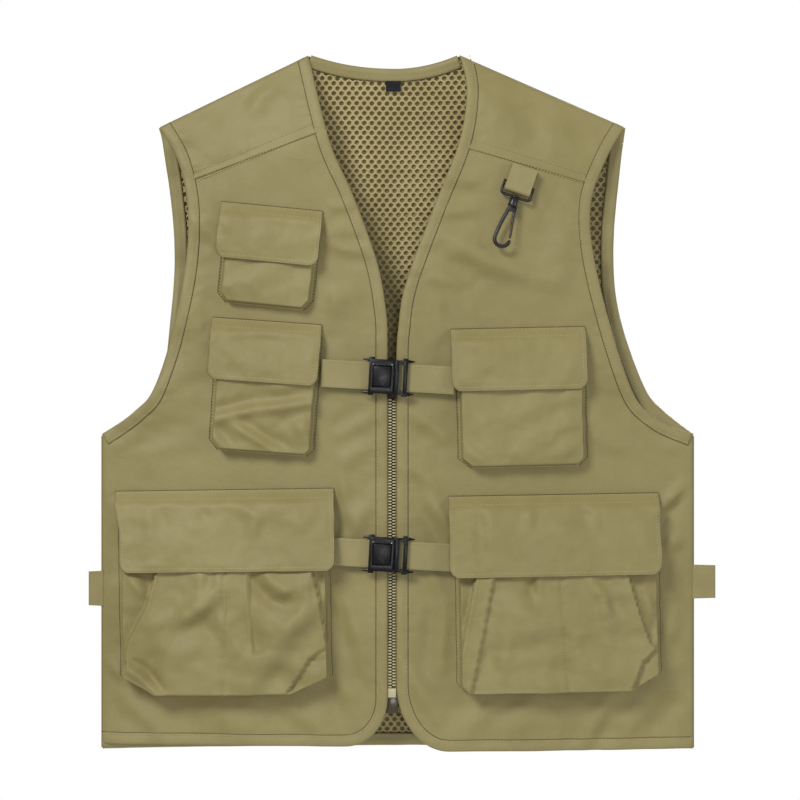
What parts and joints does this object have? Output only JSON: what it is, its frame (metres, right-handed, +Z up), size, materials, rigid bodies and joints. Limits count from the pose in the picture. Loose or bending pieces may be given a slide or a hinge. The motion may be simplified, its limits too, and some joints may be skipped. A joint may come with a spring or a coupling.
{
  "type": "fishing vest",
  "caption": "Sleeveless V-neck vest with flapped bellows pockets, a centre zip, buckled straps across the front and a clip hook on the chest",
  "frame": {"origin": "the hanger seat: the middle of the neck at shoulder height, on the zip's line, between the front and the back", "axes": "+X to the wearer's left, -Y out of the front, +Z up"},
  "size_m": [0.6139, 0.0723, 0.6786],
  "materials": {
    "shell_cloth": "khaki coated nylon, fine weave, slight sheen",
    "lining_net": "open warp-knit net, matt",
    "binding_cloth": "folded nylon tape, stitched",
    "webbing": "woven webbing",
    "zip_tape": "woven tape",
    "zip_teeth": "moulded, satin",
    "film": "stiff film",
    "buckle_plastic": "moulded, satin black",
    "dark_metal": "black nickel plate",
    "touch_tape": "hook and loop pile, matt",
    "label_cloth": "woven label, plain"
  },
  "bodies": {
    "vest": {"armhole_binding_back_left": "binding_cloth", "armhole_binding_back_right": "binding_cloth", "armhole_binding_front_left": "binding_cloth", "armhole_binding_front_right": "binding_cloth", "back_panel": "shell_cloth", "buckle_housing_lower": "buckle_plastic", "buckle_housing_upper": "buckle_plastic", "front_binding_left": "binding_cloth", "front_binding_right": "binding_cloth", "front_panel_left": "shell_cloth", "front_panel_right": "shell_cloth", "front_yoke_left": "shell_cloth", "front_yoke_right": "shell_cloth", "hook_tab": "webbing", "lining_back": "lining_net", "lining_front_left": "lining_net", "lining_front_right": "lining_net", "loop_tape_large_left": "touch_tape", "loop_tape_large_right": "touch_tape", "loop_tape_medium_left": "touch_tape", "loop_tape_medium_right": "touch_tape", "loop_tape_small_right": "touch_tape", "neck_binding": "binding_cloth", "pouch_large_left": "shell_cloth", "pouch_large_right": "shell_cloth", "pouch_medium_left": "shell_cloth", "pouch_medium_right": "shell_cloth", "pouch_small_right": "shell_cloth", "side_tab_left": "webbing", "side_tab_right": "webbing", "size_label": "label_cloth", "strap_left_lower": "webbing", "strap_left_upper": "webbing", "strap_right_lower": "webbing", "strap_right_upper": "webbing", "zipper_chain_left": "zip_teeth", "zipper_chain_right": "zip_teeth", "zipper_end_film": "film", "zipper_retainer_box": "zip_teeth", "zipper_tape_left": "zip_tape", "zipper_tape_right": "zip_tape"},
    "flap_small_right": {"flap_small_right": "shell_cloth", "hook_tape_small_right": "touch_tape"},
    "flap_medium_right": {"flap_medium_right": "shell_cloth", "hook_tape_medium_right": "touch_tape"},
    "flap_large_right": {"flap_large_right": "shell_cloth", "hook_tape_large_right": "touch_tape"},
    "flap_medium_left": {"flap_medium_left": "shell_cloth", "hook_tape_medium_left": "touch_tape"},
    "flap_large_left": {"flap_large_left": "shell_cloth", "hook_tape_large_left": "touch_tape"},
    "zip_slider": {"zipper_slider": "dark_metal"},
    "zip_pull": {"zipper_pull": "dark_metal"},
    "upper_button": {"buckle_button_upper": "buckle_plastic"},
    "upper_plug": {"buckle_plug_upper": "buckle_plastic"},
    "lower_button": {"buckle_button_lower": "buckle_plastic"},
    "lower_plug": {"buckle_plug_lower": "buckle_plastic"},
    "hook_ring": {"hook_ring": "dark_metal"},
    "hook_body": {"hook_body": "dark_metal"},
    "hook_gate": {"hook_gate": "dark_metal"}
  },
  "joints": [
    {"name": "flap_small_right_lift", "type": "hinge", "parent": "vest", "child": "flap_small_right", "pos_m": [-0.1164, -0.02168, -0.149], "axis": [-0.993, 0.0618, 0.1009], "range_deg": [0, 140]},
    {"name": "flap_medium_right_lift", "type": "hinge", "parent": "vest", "child": "flap_medium_right", "pos_m": [-0.1212, -0.02138, -0.2603], "axis": [-0.9954, 0.0645, 0.0713], "range_deg": [0, 110]},
    {"name": "flap_large_right_lift", "type": "hinge", "parent": "vest", "child": "flap_large_right", "pos_m": [-0.1638, -0.01813, -0.4244], "axis": [-0.996, 0.0872, -0.0174], "range_deg": [0, 120]},
    {"name": "flap_medium_left_lift", "type": "hinge", "parent": "vest", "child": "flap_medium_left", "pos_m": [0.1223, -0.0216, -0.267], "axis": [-0.9979, -0.0605, -0.0226], "range_deg": [0, 140]},
    {"name": "flap_large_left_lift", "type": "hinge", "parent": "vest", "child": "flap_large_left", "pos_m": [0.1574, -0.01916, -0.429], "axis": [-0.9969, -0.0777, -0.0139], "range_deg": [0, 115]},
    {"name": "zip_slide", "type": "slide", "parent": "vest", "child": "zip_slider", "axis": [0, 0, -1], "range_m": [0, 0.273]},
    {"name": "zip_pull_swing", "type": "hinge", "parent": "zip_slider", "child": "zip_pull", "pos_m": [0, -0.0261, -0.333], "axis": [1, 0, 0], "range_deg": [0, 6]},
    {"name": "upper_button_press", "type": "slide", "parent": "vest", "child": "upper_button", "axis": [0, 1, 0], "range_m": [0, 0.0012], "stiffness_N_per_m": 400, "springref_m": -0.0006},
    {"name": "upper_plug_pull", "type": "slide", "parent": "vest", "child": "upper_plug", "axis": [0.9983, 0, -0.0576], "range_m": [0, 0.02]},
    {"name": "lower_button_press", "type": "slide", "parent": "vest", "child": "lower_button", "axis": [0, 1, 0], "range_m": [0, 0.0012], "stiffness_N_per_m": 400, "springref_m": -0.0006},
    {"name": "lower_plug_pull", "type": "slide", "parent": "vest", "child": "lower_plug", "axis": [0.9986, 0, -0.0523], "range_m": [0, 0.02]},
    {"name": "hook_ring_swing", "type": "hinge", "parent": "vest", "child": "hook_ring", "pos_m": [0.1234, -0.02453, -0.1288], "axis": [-0.9466, 0, 0.3223], "range_deg": [0, 95]},
    {"name": "hook_swivel", "type": "hinge", "parent": "hook_ring", "child": "hook_body", "pos_m": [0.11618, -0.02808, -0.15002], "axis": [0.3183, 0.1564, 0.935], "continuous": true},
    {"name": "hook_gate_press", "type": "hinge", "parent": "hook_body", "child": "hook_gate", "pos_m": [0.1184, -0.02894, -0.15652], "axis": [-0.0504, 0.9877, -0.1481], "range_deg": [0, 18], "stiffness_Nm_per_rad": 0.004, "springref_deg": -8.59}
  ]
}
